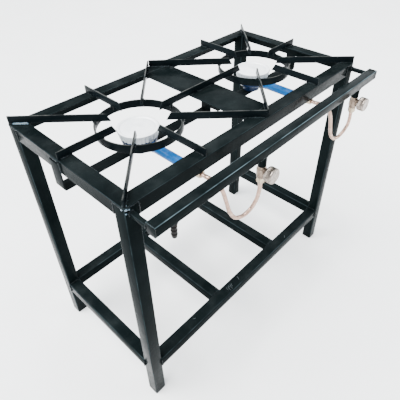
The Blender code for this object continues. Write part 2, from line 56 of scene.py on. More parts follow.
# ---------------------------------------------------------------- places read from the frame

def centre_of(node):
    """Middle of a node's box."""
    low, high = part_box(node)
    return (low + high) / 2


LEFT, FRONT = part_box("leg_front_left")[0][:2]
RIGHT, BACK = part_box("leg_back_right")[1][:2]
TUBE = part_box("leg_front_left")[1].x - LEFT
LEG_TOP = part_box("leg_front_left")[1].z
RAIL_BOTTOM, FRAME_TOP = (corner.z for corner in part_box("top_rail_front"))
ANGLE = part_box("top_rail_front")[1].y - FRONT
SHELF_BOTTOM, SHELF_TOP = (corner.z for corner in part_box("shelf_rail_front"))
PLATE_LOW, PLATE_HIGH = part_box("centre_plate")
MANIFOLD_LOW, MANIFOLD_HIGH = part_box("gas_manifold")
MANIFOLD_Y = centre_of("gas_inlet_barb").y
BURNER = {side: centre_of(f"burner_cap_{side}") for side in SIDES}
GRATE_CENTRE = {side: centre_of(f"grate_ring_{side}") for side in SIDES}
VALVE = {side: centre_of(f"flare_nut_{side}") for side in SIDES}
STEM_Z = centre_of("knob_left").z
MIXER_Z = centre_of("mixer_tube_left").z
BAR = 0.0032                    # thickness of the grates' flat bar
RING_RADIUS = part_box("grate_ring_left")[1].x - GRATE_CENTRE["left"].x
INNER = {"left": LEFT + ANGLE, "right": RIGHT - ANGLE, "front": FRONT + ANGLE, "back": BACK - ANGLE}


# ---------------------------------------------------------------- node-based materials

class Shader:
    """A Principled material with small helpers for its node tree."""

    def __init__(self, name, roughness, metallic=0.0, specular=0.5):
        self.material = bpy.data.materials.new(name)
        self.material.use_nodes = True
        self.tree = self.material.node_tree
        self.principled = self.tree.nodes["Principled BSDF"]
        sockets = self.principled.inputs
        sockets["Roughness"].default_value = roughness
        sockets["Metallic"].default_value = metallic
        sockets["Specular IOR Level"].default_value = specular
        self.coordinates = self.node("ShaderNodeTexCoord").outputs["Object"]

    def node(self, kind, **settings):
        """Add a node with its settings."""
        made = self.tree.nodes.new(kind)
        for key, value in settings.items():
            setattr(made, key, value)
        return made

    def put(self, socket, value):
        """Link an output, or set a plain value."""
        if isinstance(value, bpy.types.NodeSocket):
            self.tree.links.new(value, socket)
        elif isinstance(value, (tuple, list)) and len(value) == 3 and socket.type == "RGBA":
            socket.default_value = (*value, 1.0)
        else:
            socket.default_value = value

    def surface(self, socket_name, value):
        """Feed one of the Principled shader's sockets."""
        self.put(self.principled.inputs[socket_name], value)

    def stretched(self, factors):
        """Object coordinates scaled by a factor for each axis."""
        mapping = self.node("ShaderNodeMapping")
        self.put(mapping.inputs["Vector"], self.coordinates)
        mapping.inputs["Scale"].default_value = factors
        return mapping.outputs["Vector"]

    def noise(self, scale, detail=3.0, roughness=0.5, distortion=0.0, vector=None):
        """Soft noise, with scale as cells to the metre."""
        made = self.node("ShaderNodeTexNoise")
        self.put(made.inputs["Vector"], vector or self.coordinates)
        made.inputs["Scale"].default_value = scale
        made.inputs["Detail"].default_value = detail
        made.inputs["Roughness"].default_value = roughness
        made.inputs["Distortion"].default_value = distortion
        return made.outputs["Fac"]

    def cells(self, scale):
        """Distance from the middle of the nearest cell."""
        made = self.node("ShaderNodeTexVoronoi")
        self.put(made.inputs["Vector"], self.coordinates)
        made.inputs["Scale"].default_value = scale
        return made.outputs["Distance"]

    def math(self, operation, first, second=0.0, clamp=False):
        """One step of arithmetic."""
        made = self.node("ShaderNodeMath", operation=operation, use_clamp=clamp)
        self.put(made.inputs[0], first)
        self.put(made.inputs[1], second)
        return made.outputs[0]

    def window(self, value, low, high, out_low=0.0, out_high=1.0):
        """Smoothly map low..high to out_low..out_high."""
        made = self.node("ShaderNodeMapRange", interpolation_type="SMOOTHSTEP")
        self.put(made.inputs["Value"], value)
        limits = {"From Min": low, "From Max": high, "To Min": out_low, "To Max": out_high}
        for name, number in limits.items():
            made.inputs[name].default_value = number
        return made.outputs["Result"]

    def mix(self, factor, first, second):
        """Colour mix."""
        made = self.node("ShaderNodeMix", data_type="RGBA")
        self.put(made.inputs[0], factor)
        self.put(made.inputs[6], first)
        self.put(made.inputs[7], second)
        return made.outputs[2]

    def axis(self, name):
        """One of the object coordinates."""
        made = self.node("ShaderNodeSeparateXYZ")
        self.put(made.inputs[0], self.coordinates)
        return made.outputs[name]

    def facing(self):
        """The surface's direction, split into X, Y and Z."""
        geometry = self.node("ShaderNodeNewGeometry")
        split = self.node("ShaderNodeSeparateXYZ")
        self.put(split.inputs[0], geometry.outputs["Normal"])
        return split.outputs

    def rounded_normal(self, radius):
        """Surface direction with the sharp edges rounded off."""
        made = self.node("ShaderNodeBevel", samples=4)
        made.inputs["Radius"].default_value = radius
        return made.outputs["Normal"]

    def edge_mask(self, radius):
        """1 on sharp edges and 0 on flats."""
        geometry = self.node("ShaderNodeNewGeometry")
        dot = self.node("ShaderNodeVectorMath", operation="DOT_PRODUCT")
        self.put(dot.inputs[0], self.rounded_normal(radius))
        self.put(dot.inputs[1], geometry.outputs["Normal"])
        return self.window(dot.outputs["Value"], 0.995, 0.90)

    def upward(self):
        """1 on faces that look up and 0 on the others."""
        return self.window(self.facing()["Z"], 0.3, 0.95)

    def rounded_corner(self, level_only=False):
        """1 where the surface turns between two of the main directions and 0 on the flats.

        level_only leaves out the corners that stand upright, such as the sides of a round socket."""
        facing = self.facing()
        across, along, up = (self.math("ABSOLUTE", facing[name]) for name in "XYZ")
        steepest = self.math("MAXIMUM", self.math("MAXIMUM", across, along), up)
        corner = self.window(steepest, 0.97, 0.80)
        return self.math("MULTIPLY", corner, self.window(up, 0.2, 0.5)) if level_only else corner

    def bump(self, *layers, normal=None):
        """Stack (height, strength, distance) layers and feed the shader's normal."""
        for height, strength, distance in layers:
            made = self.node("ShaderNodeBump")
            made.inputs["Strength"].default_value = strength
            made.inputs["Distance"].default_value = distance
            self.put(made.inputs["Height"], height)
            if normal is not None:
                self.put(made.inputs["Normal"], normal)
            normal = made.outputs["Normal"]
        self.surface("Normal", normal)


PALE_TOP_COLOUR = (0.100, 0.100, 0.092)
DUST = (0.16, 0.18, 0.18)


def paint(name, base, wear_and_highlight_colour, roughness, specular, wear_and_highlight_amount, waviness=0.5, dust=0.0, corner=0.0, pale_tops=0.0,
          level_only=False):
    """Brushed gloss enamel over steel: streaks, runs, orange peel, pale thin edges that are both paint loss
    and a painted highlight, chips and dust.

    corner is how strongly a painted highlight, 2.2 times the edge colour, shows on rounded corners, and
    pale_tops how much a paler grey shows in patches on faces that look up."""
    shader = Shader(name, roughness, specular=specular)
    broad = shader.noise(9.0, 3.0)
    tint = shader.mix(shader.window(broad, 0.35, 0.70), base, tuple(1.4 * c + 0.001 for c in base))
    streaks = shader.noise(60.0, 3.0, 0.6, 0.4, shader.stretched((0.22, 1.0, 1.0)))
    runs = shader.noise(70.0, 2.0, 0.5, 0.6, shader.stretched((1.0, 1.0, 0.20)))
    flow = shader.math("ADD", shader.window(streaks, 0.50, 0.72), shader.window(runs, 0.56, 0.76))
    tint = shader.mix(shader.math("MULTIPLY", flow, 0.4, True), tint, tuple(1.6 * c + 0.0006 for c in base))
    # Edges: a paler colour that is partly paint loss and partly a painted highlight where the edges catch the
    # light.
    patchy = shader.window(shader.noise(48.0, 4.0), 0.44, 0.64)
    edge = shader.math("MULTIPLY", shader.edge_mask(0.0010), patchy)
    chips = shader.window(shader.noise(210.0, 2.0), 0.745, 0.765)
    spots = shader.math("ADD", edge, shader.math("MULTIPLY", chips, 0.3))
    wear_and_highlight_mask = shader.math("MULTIPLY", spots, wear_and_highlight_amount, True)
    colour = shader.mix(wear_and_highlight_mask, tint, wear_and_highlight_colour)
    # Painted highlight: rounded corners between the main directions get a colour 2.2 times the edge colour,
    # standing in for light caught along them.
    if corner:
        broken = shader.window(shader.noise(17.0, 3.0), 0.36, 0.58, 0.25, 1.0)
        lit = shader.math("MULTIPLY", shader.rounded_corner(level_only), broken)
        colour = shader.mix(shader.math("MULTIPLY", lit, corner), colour, tuple(2.2 * c for c in wear_and_highlight_colour))
    # A paler grey in patches on faces that look up.
    if pale_tops:
        pale_top = shader.math("MULTIPLY", shader.upward(), shader.window(shader.noise(33.0, 3.0), 0.30, 0.62))
        colour = shader.mix(shader.math("MULTIPLY", pale_top, pale_tops), colour, PALE_TOP_COLOUR)
    if dust:
        dusty = shader.math("MULTIPLY", shader.upward(), shader.window(shader.noise(26.0, 5.0), 0.40, 0.80))
        colour = shader.mix(shader.math("MULTIPLY", dusty, dust), colour, DUST)
    shader.surface("Base Color", colour)
    rough = shader.window(shader.noise(140.0, 3.0), 0.3, 0.75, roughness - 0.05, roughness + 0.07)
    rough = shader.math("ADD", rough, shader.window(broad, 0.3, 0.7, -0.05, 0.06))
    rough = shader.math("ADD", rough, shader.math("MULTIPLY", wear_and_highlight_mask, 0.12), True)
    shader.surface("Roughness", rough)
    shader.bump((shader.noise(24.0, 2.0), 0.22 * waviness, 0.004), (flow, 0.25 * waviness, 0.0006),
                (shader.noise(380.0, 2.0), 0.10, 0.0006), normal=shader.rounded_normal(0.0007))
    return shader.material


def cast_metal(name, base, shade, roughness, metallic):
    """Fine sand-cast aluminium: grain, soft mottling and darker pits."""
    shader = Shader(name, roughness, metallic)
    grain = shader.noise(900.0, 3.0, 0.6)
    colour = shader.mix(shader.window(shader.noise(45.0, 4.0), 0.35, 0.75), base, shade)
    pits = shader.window(shader.cells(300.0), 0.02, 0.12)
    colour = shader.mix(pits, tuple(0.80 * c for c in shade), colour)
    edge = shader.math("MULTIPLY", shader.edge_mask(0.0008), 0.6)
    colour = shader.mix(edge, colour, tuple(min(1.0, 1.10 * c) for c in base))
    shader.surface("Base Color", colour)
    shader.surface("Roughness", shader.window(grain, 0.3, 0.7, roughness - 0.08, roughness + 0.10))
    shader.bump((grain, 0.20, 0.0006), (shader.noise(120.0, 2.0), 0.15, 0.0015),
                normal=shader.rounded_normal(0.0005))
    return shader.material


def turned_metal(name, base, shade, roughness, metallic, axis, pitch, lines):
    """Lathe-turned metal: fine rings along an axis, fingermarks and slightly bright edges."""
    shader = Shader(name, roughness, metallic)
    rings = shader.math("SINE", shader.math("MULTIPLY", shader.axis(axis), pitch * 2 * math.pi))
    smudge = shader.noise(110.0, 4.0, 0.6)
    colour = shader.mix(shader.window(smudge, 0.35, 0.70), base, shade)
    colour = shader.mix(shader.math("MULTIPLY", shader.edge_mask(0.0006), 0.5), colour,
                        tuple(min(1.0, 1.25 * c) for c in base))
    shader.surface("Base Color", colour)
    shader.surface("Roughness", shader.window(smudge, 0.3, 0.7, roughness - 0.07, roughness + 0.12))
    shader.bump((rings, 0.08 * lines, 0.0003), (shader.noise(700.0, 2.0), 0.08, 0.0003),
                normal=shader.rounded_normal(0.0004))
    return shader.material


# The second colour goes on edges and chips: paint loss, and on the edges also a painted highlight.
BLACK, WORN_EDGE_AND_HIGHLIGHT_BLACK = (0.0024, 0.0040, 0.0043), (0.044, 0.064, 0.072)
# corner gives the frame a faint painted highlight along its rounded corners, and the manifold a strong one.
PAINT = paint("frame_paint", BLACK, WORN_EDGE_AND_HIGHLIGHT_BLACK, 0.19, 0.006, wear_and_highlight_amount=0.7, dust=0.03, corner=0.15)
PIPE_PAINT = paint("manifold_paint", BLACK, WORN_EDGE_AND_HIGHLIGHT_BLACK, 0.19, 0.010, wear_and_highlight_amount=0.7, dust=0.03, corner=0.75,
                   level_only=True)
GRATE = paint("grate_enamel", (0.0022, 0.0038, 0.0046), (0.040, 0.056, 0.064), 0.26, 0.012,
              wear_and_highlight_amount=0.6, dust=0.02, pale_tops=0.40)
STRAP = paint("strap_enamel", (0.0026, 0.0040, 0.0044), (0.028, 0.034, 0.036), 0.36, 0.014, wear_and_highlight_amount=0.5)
WELD = paint("painted_weld", (0.0030, 0.0050, 0.0056), (0.050, 0.068, 0.078), 0.16, 0.080, wear_and_highlight_amount=0.40,
             waviness=1.2)
# Pale blue-white weld colour: a painted glint for the glossy beads at the left corners.
WELD_GLINT_PAINT = paint("painted_weld_glint", (0.0500, 0.0850, 0.1100), (0.420, 0.500, 0.560), 0.10, 0.500, wear_and_highlight_amount=0.75)
BLUE = paint("blue_enamel", (0.0002, 0.046, 0.155), (0.040, 0.150, 0.280), 0.24, 0.09, wear_and_highlight_amount=0.25)
DARK_BLUE = paint("burner_enamel", (0.0020, 0.0090, 0.0300), (0.020, 0.045, 0.080), 0.30, 0.10, wear_and_highlight_amount=0.4)
FITTING = paint("fitting_black", (0.006, 0.005, 0.005), (0.034, 0.030, 0.028), 0.40, 0.06, wear_and_highlight_amount=0.4)
MARK = paint("pointer_black", (0.012, 0.012, 0.012), (0.300, 0.280, 0.260), 0.45, 0.40, wear_and_highlight_amount=0.4)
SCUFF = paint("scuffed_primer", (0.060, 0.070, 0.075), (0.120, 0.130, 0.130), 0.60, 0.20, wear_and_highlight_amount=0.4)
CAST = cast_metal("cast_aluminium_look", (0.93, 0.94, 0.95), (0.84, 0.86, 0.88), 0.45, 0.25)
# Darker cast colour: the bowl's lip band, and on the cap's wall partly painted shade.
RAW_CAST_AND_SIDE_SHADE = cast_metal("raw_cast_and_side_shade_look", (0.36, 0.39, 0.41), (0.22, 0.24, 0.26), 0.55, 0.35)
COPPER = turned_metal("copper_look", (0.44, 0.300, 0.240), (0.30, 0.190, 0.142), 0.28, 1.0, "Z", 300.0, 0.15)
BRASS = turned_metal("brass_look", (0.22, 0.168, 0.130), (0.13, 0.096, 0.074), 0.30, 1.0, "Z", 900.0, 0.5)
PALE_BRASS = turned_metal("nut_look", (0.46, 0.38, 0.28), (0.33, 0.265, 0.190), 0.28, 1.0, "Z", 900.0, 0.5)
NICKEL = turned_metal("knob_look", (0.32, 0.275, 0.24), (0.18, 0.152, 0.13), 0.27, 1.0, "Y", 1200.0, 0.6)
STEEL = turned_metal("zinc_bolt", (0.40, 0.40, 0.39), (0.28, 0.27, 0.26), 0.34, 1.0, "Z", 700.0, 0.5)

LOOKS = {"black_paint": PAINT, "grate_paint": GRATE, "cast_aluminium": CAST, "blue_paint": BLUE,
         "brass": BRASS, "copper": COPPER, "knob_metal": NICKEL, "black_fitting": FITTING}
SLOT_OF = {entry["node"]: entry["material_slot"] for entry in frame["record"]["subparts"]}


# ---------------------------------------------------------------- mesh helpers

def new_piece(name, bm, material, body, replaced=(), smooth_angle=35.0):
    """Place a bmesh as a piece that rides on a body."""
    bmesh.ops.recalc_face_normals(bm, faces=bm.faces)
    mesh = bpy.data.meshes.new(name)
    bm.to_mesh(mesh)
    bm.free()
    mesh.shade_smooth()
    mesh.set_sharp_from_angle(angle=math.radians(smooth_angle))
    mesh.materials.append(material)
    piece = bpy.data.objects.new(name, mesh)
    bpy.context.scene.collection.objects.link(piece)
    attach(piece, body)
    if replaced:
        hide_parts(*replaced)
    return piece


def stand_in(node, bm, material, smooth_angle=35.0):
    """A piece that takes the place of one CAD node."""
    return new_piece(f"{node}_look", bm, material, BODY_OF[node], (node,), smooth_angle)


def eased(bm, edges, radius, segments):
    """Round off the edges given."""
    bmesh.ops.bevel(bm, geom=edges, offset=radius, segments=segments, profile=0.5, affect="EDGES",
                    clamp_overlap=True)


def softened(node, material, edge=0.0007, long_edge=0.0):
    """The CAD node's own shape with its sharp edges eased, so that they catch the light.

    long_edge rounds the long outer edges of a rolled bar more than the others."""
    bm = bmesh.new()
    bm.from_mesh(NODES[node].data)
    bmesh.ops.remove_doubles(bm, verts=bm.verts, dist=0.00002)
    bmesh.ops.dissolve_limit(bm, angle_limit=math.radians(1.0), verts=bm.verts, edges=bm.edges)
    if long_edge:
        steep = math.radians(60)
        long_edges = [e for e in bm.edges if e.is_convex and e.calc_length() > 0.1]
        eased(bm, [e for e in long_edges if e.calc_face_angle(0.0) > steep], long_edge, 3)
    turned = math.radians(40)
    sharp = [e for e in bm.edges if len(e.link_faces) == 2 and e.calc_face_angle(0.0) > turned]
    if sharp:
        eased(bm, sharp, edge, 2)
    stand_in(node, bm, material)


def lathe(profile, segments=64, shape=None, bm=None, matrix=None):
    """Closed solid of revolution about local Z, from rows of (radius, z) in order along its outline.

    shape(angle, radius, row) may change a radius."""
    bm = bm or bmesh.new()
    matrix = matrix or Matrix.Identity(4)
    rings = []
    for row, (radius, z) in enumerate(profile):
        if radius == 0.0:
            rings.append([bm.verts.new(matrix @ Vector((0, 0, z)))] * segments)
            continue
        ring = []
        for index in range(segments):
            angle = 2 * math.pi * index / segments
            reach = shape(angle, radius, row) if shape else radius
            ring.append(bm.verts.new(matrix @ Vector((reach * math.cos(angle), reach * math.sin(angle), z))))
        rings.append(ring)
    closed = profile[0][0] != 0.0 or profile[-1][0] != 0.0
    pairs = list(zip(rings, rings[1:])) + ([(rings[-1], rings[0])] if closed else [])
    for low, high in pairs:
        for index in range(segments):
            after = (index + 1) % segments
            corners = []
            for vert in (low[index], low[after], high[after], high[index]):
                if vert not in corners:
                    corners.append(vert)
            if len(corners) > 2:
                bm.faces.new(corners)
    return bm


def at(x, y, z, turn_to="Z"):
    """Place for a turned shape, and the way that its local Z points: -Y is the front and Y the back."""
    turn = {"Z": 0.0, "-Y": math.pi / 2, "Y": -math.pi / 2, "-Z": math.pi}[turn_to]
    return Matrix.Translation((x, y, z)) @ Matrix.Rotation(turn, 4, "X")


def hex_shape(flats, chamfer_rows):
    """Hexagon across its flats; the rows given are cut back to a circle, as a turned chamfer."""
    def shape(angle, radius, row):
        sector = (angle + math.pi / 6) % (math.pi / 3) - math.pi / 6
        corner = flats / 2 / math.cos(sector)
        return min(corner, radius) if row in chamfer_rows else radius
    return shape


def hex_nut(bm, matrix, flats, low, high, bore):
    """Hexagon nut from low to high on its axis, with turned chamfers on both ends. bore is a radius."""
    half = flats / 2
    tip = half / math.cos(math.pi / 6)
    steps = [(half * 0.97, 0.0), (half * 1.02, 0.0004), (half * 1.07, 0.0009), (tip, 0.0016)]
    profile = [(bore, low)] + [(r, low + dz) for r, dz in steps]
    profile += [(r, high - dz) for r, dz in reversed(steps)] + [(bore, high)]
    return lathe(profile, 72, hex_shape(flats, set(range(1, 9))), bm, matrix)


def fluted(count, depth, rows):
    """Rounded grooves along the axis on the rows given; rows maps a row to its share of the depth."""
    def shape(angle, radius, row):
        share = rows.get(row, 0.0)
        wave = 0.5 + 0.5 * math.cos(count * angle)
        return radius - depth * share * wave ** 2
    return shape


def tube_along(path, radius, sides, bm=None):
    """Closed round tube along a path of points. radius gives the radius for a share of the way."""
    bm = bm or bmesh.new()
    rings = []
    side = None
    for index, point in enumerate(path):
        ahead = (path[min(index + 1, len(path) - 1)] - path[max(index - 1, 0)]).normalized()
        if side is None:
            side = ahead.orthogonal().normalized()
        side = (side - ahead * side.dot(ahead)).normalized()
        other = ahead.cross(side)
        reach = radius(index / (len(path) - 1))
        turns = [2 * math.pi * k / sides for k in range(sides)]
        rings.append([bm.verts.new(point + reach * (math.cos(turn) * side + math.sin(turn) * other))
                      for turn in turns])
    for low, high in zip(rings, rings[1:]):
        for k in range(sides):
            bm.faces.new((low[k], low[(k + 1) % sides], high[(k + 1) % sides], high[k]))
    bm.faces.new(rings[0][::-1])
    bm.faces.new(rings[-1])
    return bm


def smooth_path(points, samples):
    """Catmull-Rom curve through the points."""
    points = [Vector(point) for point in points]
    padded = [2 * points[0] - points[1], *points, 2 * points[-1] - points[-2]]
    spans = len(points) - 1
    path = []
    for sample in range(samples):
        place = spans * sample / (samples - 1)
        span = min(int(place), spans - 1)
        t = place - span
        a, b, c, d = padded[span:span + 4]
        path.append(0.5 * (2 * b + (c - a) * t + (2 * a - 5 * b + 4 * c - d) * t ** 2
                           + (3 * b - a - 3 * c + d) * t ** 3))
    return path


# ---------------------------------------------------------------- weld beads

WELD_PITCH = 0.0021             # distance between the ripples of a bead
RIPPLE_STEPS = 4                # rings of points in one ripple
BEAD_SIDES = 8
CHANCE = random.Random(11)


def bead(bm, points, size):
    """Weld bead along straight runs: overlapping ripples with an uneven width and wandering line."""
    points = [Vector(point) for point in points]
    path = []
    for start, end in zip(points, points[1:]):
        steps = max(2, round((end - start).length / (WELD_PITCH / RIPPLE_STEPS)))
        path += [start.lerp(end, step / steps) for step in range(steps)]
    path.append(points[-1])
    ripples = [CHANCE.uniform(0.82, 1.15) for _ in range(len(path) // RIPPLE_STEPS + 2)]
    drift = [Vector([CHANCE.uniform(-1, 1) * 0.16 * size for _ in range(3)]) for _ in ripples]
    last = len(path) - 1
    moved, radii = [], []
    for index, point in enumerate(path):
        ripple, step = divmod(index, RIPPLE_STEPS)
        blend = step / RIPPLE_STEPS
        moved.append(point + drift[ripple].lerp(drift[ripple + 1], blend))
        taper = min(1.0, 0.45 + 0.30 * min(index, last - index))
        radii.append(size * taper * (ripples[ripple] * (1 - 0.26 * blend ** 1.5)))
    tube_along(moved, lambda share: radii[round(share * last)], BEAD_SIDES, bm)


def blob(bm, centre, size):
    """Weld spatter or the end of a run: a small uneven drop."""
    made = bmesh.ops.create_icosphere(bm, subdivisions=2, radius=size)
    for vert in made["verts"]:
        vert.co = vert.co * CHANCE.uniform(0.90, 1.10)
    bmesh.ops.scale(bm, vec=(1.0, 1.0, 0.6), verts=made["verts"])
    bmesh.ops.translate(bm, vec=centre, verts=made["verts"])


def around_square(low, high, fixed_axis, place):
    """The four sides of a square outline in the plane where fixed_axis is at place."""
    axes = [axis for axis in range(3) if axis != fixed_axis]
    corners = []
    for first, second in ((low[0], low[1]), (high[0], low[1]), (high[0], high[1]), (low[0], high[1])):
        corner = [0.0, 0.0, 0.0]
        corner[fixed_axis] = place
        corner[axes[0]], corner[axes[1]] = first, second
        corners.append(corner)
    return [(corners[k], corners[(k + 1) % 4]) for k in range(4)]


def outline_beads(bm, low, high, fixed_axis, place, inset, outward, size):
    """Beads round the end of a square bar, set in from its corners and moved outward on each side."""
    centre = [(low[0] + high[0]) / 2, (low[1] + high[1]) / 2]
    centre.insert(fixed_axis, place)
    for start, end in around_square((low[0] + inset, low[1] + inset), (high[0] - inset, high[1] - inset),
                                    fixed_axis, place):
        middle = (Vector(start) + Vector(end)) / 2 - Vector(centre)
        shift = middle.normalized() * outward
        bead(bm, (Vector(start) + shift, Vector(end) + shift), size)


def ring_bead(bm, x, z, radius, size):
    """Bead round a socket that stands upright under the manifold."""
    turns = [2 * math.pi * k / 24 for k in range(25)]
    bead(bm, [(x + radius * math.cos(turn), MANIFOLD_Y + radius * math.sin(turn), z) for turn in turns], size)


def finger_ends(side):
    """The words of each grate bar's name and the place of its outer end, seen from above."""
    centre = GRATE_CENTRE[side]
    for node in sorted(NODES):
        if not node.startswith(f"grate_{side}_finger_"):
            continue
        low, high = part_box(node)
        words = node.split("_")[3:]
        x = {"left": low.x, "right": high.x}.get(words[-1], centre.x)
        y = {"front": low.y, "back": high.y}.get(words[0], centre.y)
        yield words, Vector((x, y, 0.0))


def over_rail(centre, end):
    """Share of the way from the burner to a bar's end where the bar first lies over steel."""
    low_x, high_x = (INNER["left"], PLATE_LOW.x) if centre.x < 0 else (PLATE_HIGH.x, INNER["right"])
    shares = [1.0]
    for axis, (low, high) in enumerate(((low_x, high_x), (INNER["front"], INNER["back"]))):
        reach = end[axis] - centre[axis]
        for limit in (low, high):
            if abs(reach) > 1e-6 and 0 < (limit - centre[axis]) / reach < 1:
                shares.append((limit - centre[axis]) / reach)
    return min(shares)


def grate_welds(side):
    """Beads that hold the bars to the frame and to the ring."""
    bm = bmesh.new()
    centre = Vector((GRATE_CENTRE[side].x, GRATE_CENTRE[side].y, 0.0))
    for words, end in finger_ends(side):
        reach = end - centre
        along = reach.normalized()
        across = Vector((-along.y, along.x, 0.0))
        start = centre + reach * over_rail(centre, end)
        span = end - start
        diagonal = len(words) > 1
        for hand in (-1, 1):
            offset = across * hand * (BAR / 2 + 0.0008) + Vector((0, 0, FRAME_TOP + 0.0006))
            low, high = (0.10, 0.96) if diagonal else (0.16, 0.90)
            low += CHANCE.uniform(-0.05, 0.08)
            high -= CHANCE.uniform(0.0, 0.10)
            bead(bm, (start + span * low + offset, start + span * high + offset), 0.0020)
            for radius in (RING_RADIUS + 0.0004, RING_RADIUS - BAR - 0.0006):
                place = centre + along * radius + across * hand * (BAR / 2 + 0.0006)
                heights = (FRAME_TOP + 0.0022, FRAME_TOP - 0.0035)
                bead(bm, [place + Vector((0, 0, z)) for z in heights], 0.0017)
        inside = centre + along * (RING_RADIUS - BAR - 0.0004)
        run_down = FRAME_TOP - CHANCE.uniform(0.007, 0.011)
        bead(bm, [inside + Vector((0, 0, z)) for z in (FRAME_TOP - 0.0005, run_down)], 0.0018)
        for _ in range(3):
            share = CHANCE.uniform(0.1, 0.9)
            spot = start + span * share + across * CHANCE.choice((-1, 1)) * CHANCE.uniform(0.005, 0.010)
            blob(bm, (spot.x, spot.y, FRAME_TOP + 0.0001), CHANCE.uniform(0.0005, 0.0010))
    new_piece(f"grate_welds_{side}", bm, WELD, STAND)


def corner_weld_glints():
    """Pale blue-white beads and drops at the two left corners: a painted glint on the glossy welds there."""
    bm = bmesh.new()
    centre = GRATE_CENTRE["left"]
    along = Vector((LEFT - centre.x, BACK - centre.y, 0.0)).normalized()
    near_side = Vector((-along.y, along.x, 0.0)) * (BAR / 2 + 0.0016)
    base = Vector((LEFT, BACK, FRAME_TOP + 0.0006)) + near_side
    bead(bm, (base - along * 0.046, base - along * 0.012), 0.0027)
    for dx, dy, dz, size in ((0.004, -0.0006, -0.004, 0.0030), (0.010, -0.0004, -0.007, 0.0022),
                             (0.0005, 0.006, -0.005, 0.0026), (0.016, 0.012, 0.0004, 0.0020),
                             (0.007, 0.004, 0.0004, 0.0026), (0.003, -0.0004, -0.013, 0.0020)):
        blob(bm, (LEFT + dx, FRONT + dy, FRAME_TOP + dz), size)
    new_piece("corner_weld_glints", bm, WELD_GLINT_PAINT, STAND)


def strap_welds(side):
    """Beads that hold a burner's strap to the frame's side and under the centre plate."""
    bm = bmesh.new()
    low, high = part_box(f"burner_strap_{side}")
    plate_x, frame_x, outward = (high.x, LEFT, -1) if side == "left" else (low.x, RIGHT, 1)
    face_x = frame_x + outward * 0.0008
    for y in (low.y, high.y):
        bead(bm, ((face_x, y, high.z - 0.0010), (face_x, y, RAIL_BOTTOM + 0.003)), 0.0022)
    bead(bm, [(face_x, y, high.z + 0.0004) for y in (low.y + 0.002, high.y - 0.002)], 0.0022)
    for x in (plate_x, plate_x + outward * BAR):
        bead(bm, [(x, y, LEG_TOP - 0.0006) for y in (low.y + 0.003, high.y - 0.003)], 0.0021)
    new_piece(f"strap_welds_{side}", bm, WELD, STAND)


def frame_welds():
    """Seams of the top frame: mitres, leg joints and the centre plate."""
    bm = bmesh.new()
    seam = (FRAME_TOP - 0.006, RAIL_BOTTOM + 0.001)
    for x, inward_x in ((LEFT, 1), (RIGHT, -1)):
        for y, inward_y in ((FRONT, 1), (BACK, -1)):
            def spot(dx, dy, z):
                """A point dx and dy inward from this corner of the frame."""
                return (x + inward_x * dx, y + inward_y * dy, z)
            bead(bm, [spot(step, step, FRAME_TOP - 0.0008) for step in (0.002, ANGLE - 0.001)], 0.0016)
            bead(bm, [spot(TUBE, 0.0002, z) for z in seam], 0.0017)
            bead(bm, [spot(0.0002, TUBE, z) for z in seam], 0.0017)
            bead(bm, [spot(dx, 0.0004, LEG_TOP) for dx in (0.003, TUBE)], 0.0014)
            bead(bm, [spot(0.0004, dy, LEG_TOP) for dy in (0.003, TUBE)], 0.0014)
    for y in (PLATE_LOW.y, PLATE_HIGH.y):
        for start_x, end_x in ((PLATE_LOW.x + 0.003, PLATE_LOW.x + 0.034),
                               (PLATE_HIGH.x - 0.036, PLATE_HIGH.x - 0.004)):
            bead(bm, [(x, y, FRAME_TOP - 0.0005) for x in (start_x, end_x)], 0.0018)
    new_piece("frame_welds", bm, WELD, STAND)


def shelf_welds():
    """Beads round the ends of the shelf's rails and bars."""
    bm = bmesh.new()
    inset, size = 0.003, 0.0023
    for face in (LEFT + TUBE, RIGHT - TUBE):
        for low_y in (FRONT, BACK - TUBE):
            outline_beads(bm, (low_y, SHELF_BOTTOM), (low_y + TUBE, SHELF_TOP), 0, face, inset, inset, size)
    for face in (FRONT + TUBE, BACK - TUBE):
        for low_x in (LEFT, RIGHT - TUBE):
            outline_beads(bm, (low_x, SHELF_BOTTOM), (low_x + TUBE, SHELF_TOP), 1, face, inset, inset, size)
        for node in ("shelf_bar_left", "shelf_bar_right"):
            low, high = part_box(node)
            outline_beads(bm, (low.x, low.z), (high.x, high.z), 1, face, inset, inset, size)
    new_piece("shelf_welds", bm, WELD, STAND)


def manifold_welds():
    """Beads of the manifold's end caps, arms, sockets and inlet."""
    bm = bmesh.new()
    low, high = MANIFOLD_LOW, MANIFOLD_HIGH
    bottom = high.z - (high.y - low.y)      # of the square tube, without its sockets
    for x in (low.x + 0.0010, high.x - 0.0010):
        outline_beads(bm, (low.y, bottom), (high.y, high.z), 0, x, 0.002, 0.0014, 0.0011)
    for side in SIDES:
        arm_low, arm_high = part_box(f"manifold_arm_{side}")
        for y in (arm_low.y + 0.0004, arm_high.y - 0.0004):
            for ends in around_square((arm_low.x, arm_low.z), (arm_high.x, arm_high.z), 1, y):
                bead(bm, ends, 0.0018)
        ring_bead(bm, VALVE[side].x, bottom - 0.0002, 0.0100, 0.0017)
    ring_bead(bm, centre_of("gas_inlet_barb").x, bottom - 0.0004, 0.0090, 0.0015)
    new_piece("manifold_welds", bm, WELD, STAND)


# ---------------------------------------------------------------- burners

FLAME_GROOVES = 30              # round the cap's wall and the bowl's


